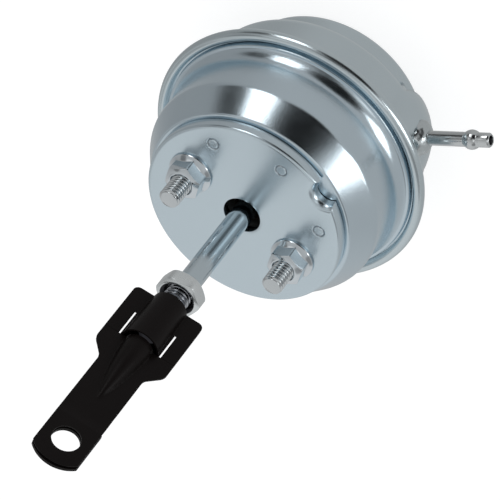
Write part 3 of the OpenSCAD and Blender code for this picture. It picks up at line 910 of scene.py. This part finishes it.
pad_rows = [(lambda a: EYE_R, ring_front), (lambda a: EYE_R, ring_back + 0.2),
            (lambda a: EYE_R + 0.2, ring_back),
            (lambda a: eye_outline(a) - 0.25, ring_back), (eye_outline, ring_back + 0.25),
            (eye_outline, ring_front), (lambda a: EYE_R, ring_front)]
cl, sl = math.cos(LINK_ANGLE), math.sin(LINK_ANGLE)
for reach_of, y in pad_rows:
    for i in range(hole_steps * 2):
        a = math.pi * i / hole_steps
        u, z = reach_of(a) * math.cos(a), EYE_Z + reach_of(a) * math.sin(a)
        pad_verts.append((u * cl - y * sl, u * sl + y * cl, z))
pad_faces = grid_faces(len(pad_rows), hole_steps * 2)
piece("rod_end_eye_pad", pad_verts, pad_faces, "rod_end", BLACK)

# %% [markdown]
# ## Pieces that stay as they are
# Most of what the cans hide keeps its CAD shape and only gets a finish: the pressed steel
# parts, and the guide bush and its holder, which are coloured near black as painted shade.

# %% Finishes for the CAD pieces that stay
RUBBER, rubber_nodes, rubber_links = new_material("diaphragm_rubber")
rubber = rubber_nodes["Principled BSDF"]
rubber.inputs["Roughness"].default_value = 0.75
weave = add(rubber_nodes, "ShaderNodeTexNoise", Scale=1200.0, Detail=2.0)
rubber_place = rubber_nodes.new("ShaderNodeTexCoord")
rubber_links.new(rubber_place.outputs["Object"], weave.inputs["Vector"])
rubber_tone = between(RUBBER.node_tree, weave.outputs["Fac"], (0.02, 0.02, 0.02), (0.05, 0.05, 0.05))
rubber_links.new(rubber_tone, rubber.inputs["Base Color"])
SPRING_STEEL = metal("spring_steel", (0.4, 0.4, 0.41), 0.3)
# painted shade: the guide bush and its holder sit deep in the can and are coloured near black for it
PAINTED_SHADE_BUSH = metal("painted_shade_bush", (0.05, 0.045, 0.04), 0.45, grain=700.0, bump=0.15)
kept = {"guide_bush": PAINTED_SHADE_BUSH, "guide_holder": PAINTED_SHADE_BUSH}
for name in ("piston_cup", "retainer_plate", "piston_washer", "spring_seat", "bush_clip"):
    kept[name] = INNER_STEEL
kept["piston_nut"] = NUT_BRIGHT
for name, finish in kept.items():
    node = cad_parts[name]
    node = bpy.data.objects[node] if isinstance(node, str) else node
    for slot in node.material_slots:
        slot.material = finish
print("kept CAD pieces:", sorted(kept))

# %% [markdown]
# ## Spring and rolling diaphragm
# Both join the can to the sliding rod, so neither rides on one body. They have the shapes
# of their solids, with rows enough to bend.

# %% Spring and diaphragm
PISTON_Z = BOTTOM_Z + 16
SPRING_LOW, SPRING_HIGH = PISTON_Z + 3.5, -PLATE_H - SHEET - 3.5
SPRING_R, WIRE_R, COILS = 31.7, 2.0, 6


def spring_coil(per_turn=48, sides=16):
    """The wire as rings of points. The first and last turns are closed."""
    rows = COILS * per_turn + 1
    verts = []
    for s in range(rows):
        t = s / per_turn
        flat = 2.15 * WIRE_R * (min(t, 1) + max(t - COILS + 1, 0))
        climb = min(max((t - 1) / (COILS - 2), 0), 1) * (SPRING_HIGH - SPRING_LOW - 4.3 * WIRE_R)
        for k in range(sides):
            b = 2 * math.pi * k / sides
            r = SPRING_R + WIRE_R * math.cos(b)
            verts.append((r * math.cos(2 * math.pi * t), r * math.sin(2 * math.pi * t),
                          SPRING_LOW + flat + climb + WIRE_R * math.sin(b)))
    ends = [tuple(range(sides)), tuple(range(len(verts) - sides, len(verts)))]
    return verts, grid_faces(rows, sides) + ends


verts, faces = spring_coil()
coil = piece("spring_coil", verts, faces, None, SPRING_STEEL, ["spring"], sharp=60)
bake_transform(coil)

low, fold_c = PISTON_Z - 1.2, (40.3, -38.0)
sleeve = [low + (fold_c[1] - low) * k / 16 for k in range(17)]
section = [(3.4, low), (20, low)] + [(37.0, z) for z in sleeve]
section += arc(fold_c, 3.3, 180, 0, 20)[1:] + [(43.6, -38.6), (52, -38.6), (52, -37.4), (44.8, -37.4)]
section += arc(fold_c, 4.5, 8, 180, 24) + [(35.8, z) for z in sleeve[-2:0:-1]]
section += [(35.8, PISTON_Z), (20, PISTON_Z), (3.4, PISTON_Z), (3.4, low)]
verts, faces = lathe(section, 160)
skin = piece("diaphragm_sleeve", verts, faces, None, RUBBER, ["diaphragm"])
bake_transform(skin)

# %% [markdown]
# ## Camera
# The photograph was taken from about 0.86 m with a long lens, looking down the rod at
# 49 degrees. The numbers are the solved pose: three axes of the camera and its place.

# %% Camera
CAM_RIGHT = Vector((0.7637149, 0.4567028, -0.4562479))
CAM_UP = Vector((-0.6434577, 0.4816363, -0.5949695))
CAM_BACK = Vector((-0.0519787, 0.7479632, 0.6617017))
CAM_PLACE = Vector((-0.0343, 0.6358, 0.5726))
camera = in_scene("camera", bpy.data.cameras.new("camera"))
camera.data.lens = 172.8
camera.data.sensor_width = 36.0
camera.data.clip_start = 0.01
camera.matrix_world = Matrix((
    (CAM_RIGHT.x, CAM_UP.x, CAM_BACK.x, CAM_PLACE.x),
    (CAM_RIGHT.y, CAM_UP.y, CAM_BACK.y, CAM_PLACE.y),
    (CAM_RIGHT.z, CAM_UP.z, CAM_BACK.z, CAM_PLACE.z),
    (0, 0, 0, 1)))
bpy.context.scene.camera = camera

# %% [markdown]
# ## Studio
# Bright metal is a picture of the room. The zinc in the photograph sees two soft boxes,
# a dark gap between and beside them, and grey card everywhere else. The grey card is a
# dome that only reflections see; the soft boxes are area lamps outside its dark parts.

# %% Studio: directions, soft boxes and grey dome
def toward(azimuth, elevation):
    """A direction in the photographer's terms: 0, 0 is back to the camera."""
    a, e = math.radians(azimuth), math.radians(elevation)
    return (CAM_RIGHT * (math.cos(e) * math.sin(a)) + CAM_UP * math.sin(e)
            + CAM_BACK * (math.cos(e) * math.cos(a))).normalized()


def soft_box(name, azimuth, elevation, wide, high, glow, distance=0.9):
    """Area lamp of the given size whose face has the given brightness."""
    lamp = bpy.data.lights.new(name, "AREA")
    lamp.shape = "RECTANGLE"
    lamp.size, lamp.size_y = wide, high
    lamp.energy = glow * math.pi * wide * high
    obj = in_scene(name, lamp)
    back = toward(azimuth, elevation)
    side = CAM_UP.cross(back).normalized()
    up = back.cross(side)
    obj.matrix_world = Matrix((
        (side.x, up.x, back.x, back.x * distance), (side.y, up.y, back.y, back.y * distance),
        (side.z, up.z, back.z, back.z * distance), (0, 0, 0, 1)))


soft_box("soft_box_right", 57, -6, 0.50, 0.36, 2.6)
soft_box("soft_box_left", -27, 49, 0.30, 0.42, 2.6)

dome_mat, dn, dl = new_material("grey_dome")
dn.remove(dn["Principled BSDF"])
glow = dn.new("ShaderNodeEmission")
dl.new(glow.outputs[0], dn["Material Output"].inputs["Surface"])
dome_place = dn.new("ShaderNodeTexCoord")
unit = vector_calc(dome_mat.node_tree, "NORMALIZE", dome_place.outputs["Object"])


def patch(azimuth, elevation, radius, edge, inside, outside):
    """A round patch of the dome, with a soft edge, as a number."""
    dot = vector_calc(dome_mat.node_tree, "DOT_PRODUCT", unit, toward(azimuth, elevation), out="Value")
    ramp = add(dn, "ShaderNodeMapRange", From_Min=math.cos(math.radians(radius + edge)),
               From_Max=math.cos(math.radians(radius)), To_Min=outside, To_Max=inside)
    ramp.interpolation_type = "SMOOTHSTEP"
    dl.new(dot, ramp.inputs["Value"])
    return ramp.outputs["Result"]


level = patch(-105, -60, 20, 60, 0.66, 0.46)
for azimuth, elevation, radius, edge, inside in (
        (-100, 30, 20, 50, 0.72), (20, 28, 20, 10, 0.02), (-60, 48, 9, 9, 0.15),
        (14, -15, 7, 4, 2.4), (-11, 7, 9, 5, 0.2), (-45, 10, 6, 5, 1.7), (-64, 3, 7, 5, 0.45),
        (30, -60, 14, 8, 0.5), (-95, -28, 10, 8, 0.6)):
    spot = patch(azimuth, elevation, radius, edge, inside, 1.0)
    level = calc(dome_mat.node_tree, "MULTIPLY", level, spot)
dl.new(level, glow.inputs["Strength"])
bm = bmesh.new()
bmesh.ops.create_uvsphere(bm, u_segments=64, v_segments=32, radius=1.3)
dome_mesh = bpy.data.meshes.new("grey_dome")
bm.to_mesh(dome_mesh)
bm.free()
dome_mesh.shade_smooth()
dome_mesh.materials.append(dome_mat)
dome = in_scene("grey_dome", dome_mesh)
dome.visible_camera = False
dome.visible_diffuse = False
dome.visible_shadow = False
dome.visible_transmission = False

# %% [markdown]
# The floor is pale and keeps the shadow. Part of its brightness is its own, for the
# camera alone, so that it runs into the white background without more light on the
# actuator. The world is white to the camera and to glossy and transmitted rays.

# %% Floor and world
FLOOR_REACH = 6
floor_mat, fn, fl = new_material("pale_floor")
fn.remove(fn["Principled BSDF"])
matte = fn.new("ShaderNodeBsdfDiffuse")
matte.inputs["Color"].default_value = (0.5, 0.5, 0.5, 1)
own = fn.new("ShaderNodeEmission")
path = fn.new("ShaderNodeLightPath")
own_glow = calc(floor_mat.node_tree, "MULTIPLY", path.outputs["Is Camera Ray"], 0.74)
both = fn.new("ShaderNodeAddShader")
fl.new(own_glow, own.inputs["Strength"])
fl.new(matte.outputs[0], both.inputs[0])
fl.new(own.outputs[0], both.inputs[1])
fl.new(both.outputs[0], fn["Material Output"].inputs["Surface"])
floor_mesh = bpy.data.meshes.new("floor")
floor_z = (BOTTOM_Z - 0.05) * MM
corners = [(x * FLOOR_REACH, y * FLOOR_REACH, floor_z) for x, y in ((-1, -1), (1, -1), (1, 1), (-1, 1))]
floor_mesh.from_pydata(corners, [], [(0, 1, 2, 3)])
floor_mesh.materials.append(floor_mat)
floor = in_scene("floor", floor_mesh)
floor.visible_glossy = False

world = bpy.data.worlds.new("studio_world")
bpy.context.scene.world = world
world.use_nodes = True
wn, wl = world.node_tree.nodes, world.node_tree.links
sky = wn["Background"]
sky.inputs["Color"].default_value = (0.62, 0.63, 0.64, 1)
white = wn.new("ShaderNodeBackground")
white.inputs["Strength"].default_value = 1.0
pick = wn.new("ShaderNodeMixShader")
wpath = wn.new("ShaderNodeLightPath")
seen = wpath.outputs["Is Camera Ray"]
for ray in ("Is Glossy Ray", "Is Transmission Ray"):
    seen = calc(world.node_tree, "MAXIMUM", seen, wpath.outputs[ray])
wl.new(seen, pick.inputs["Fac"])
wl.new(sky.outputs[0], pick.inputs[1])
wl.new(white.outputs[0], pick.inputs[2])
wl.new(pick.outputs[0], wn["World Output"].inputs["Surface"])
bpy.context.scene.view_settings.view_transform = "Standard"
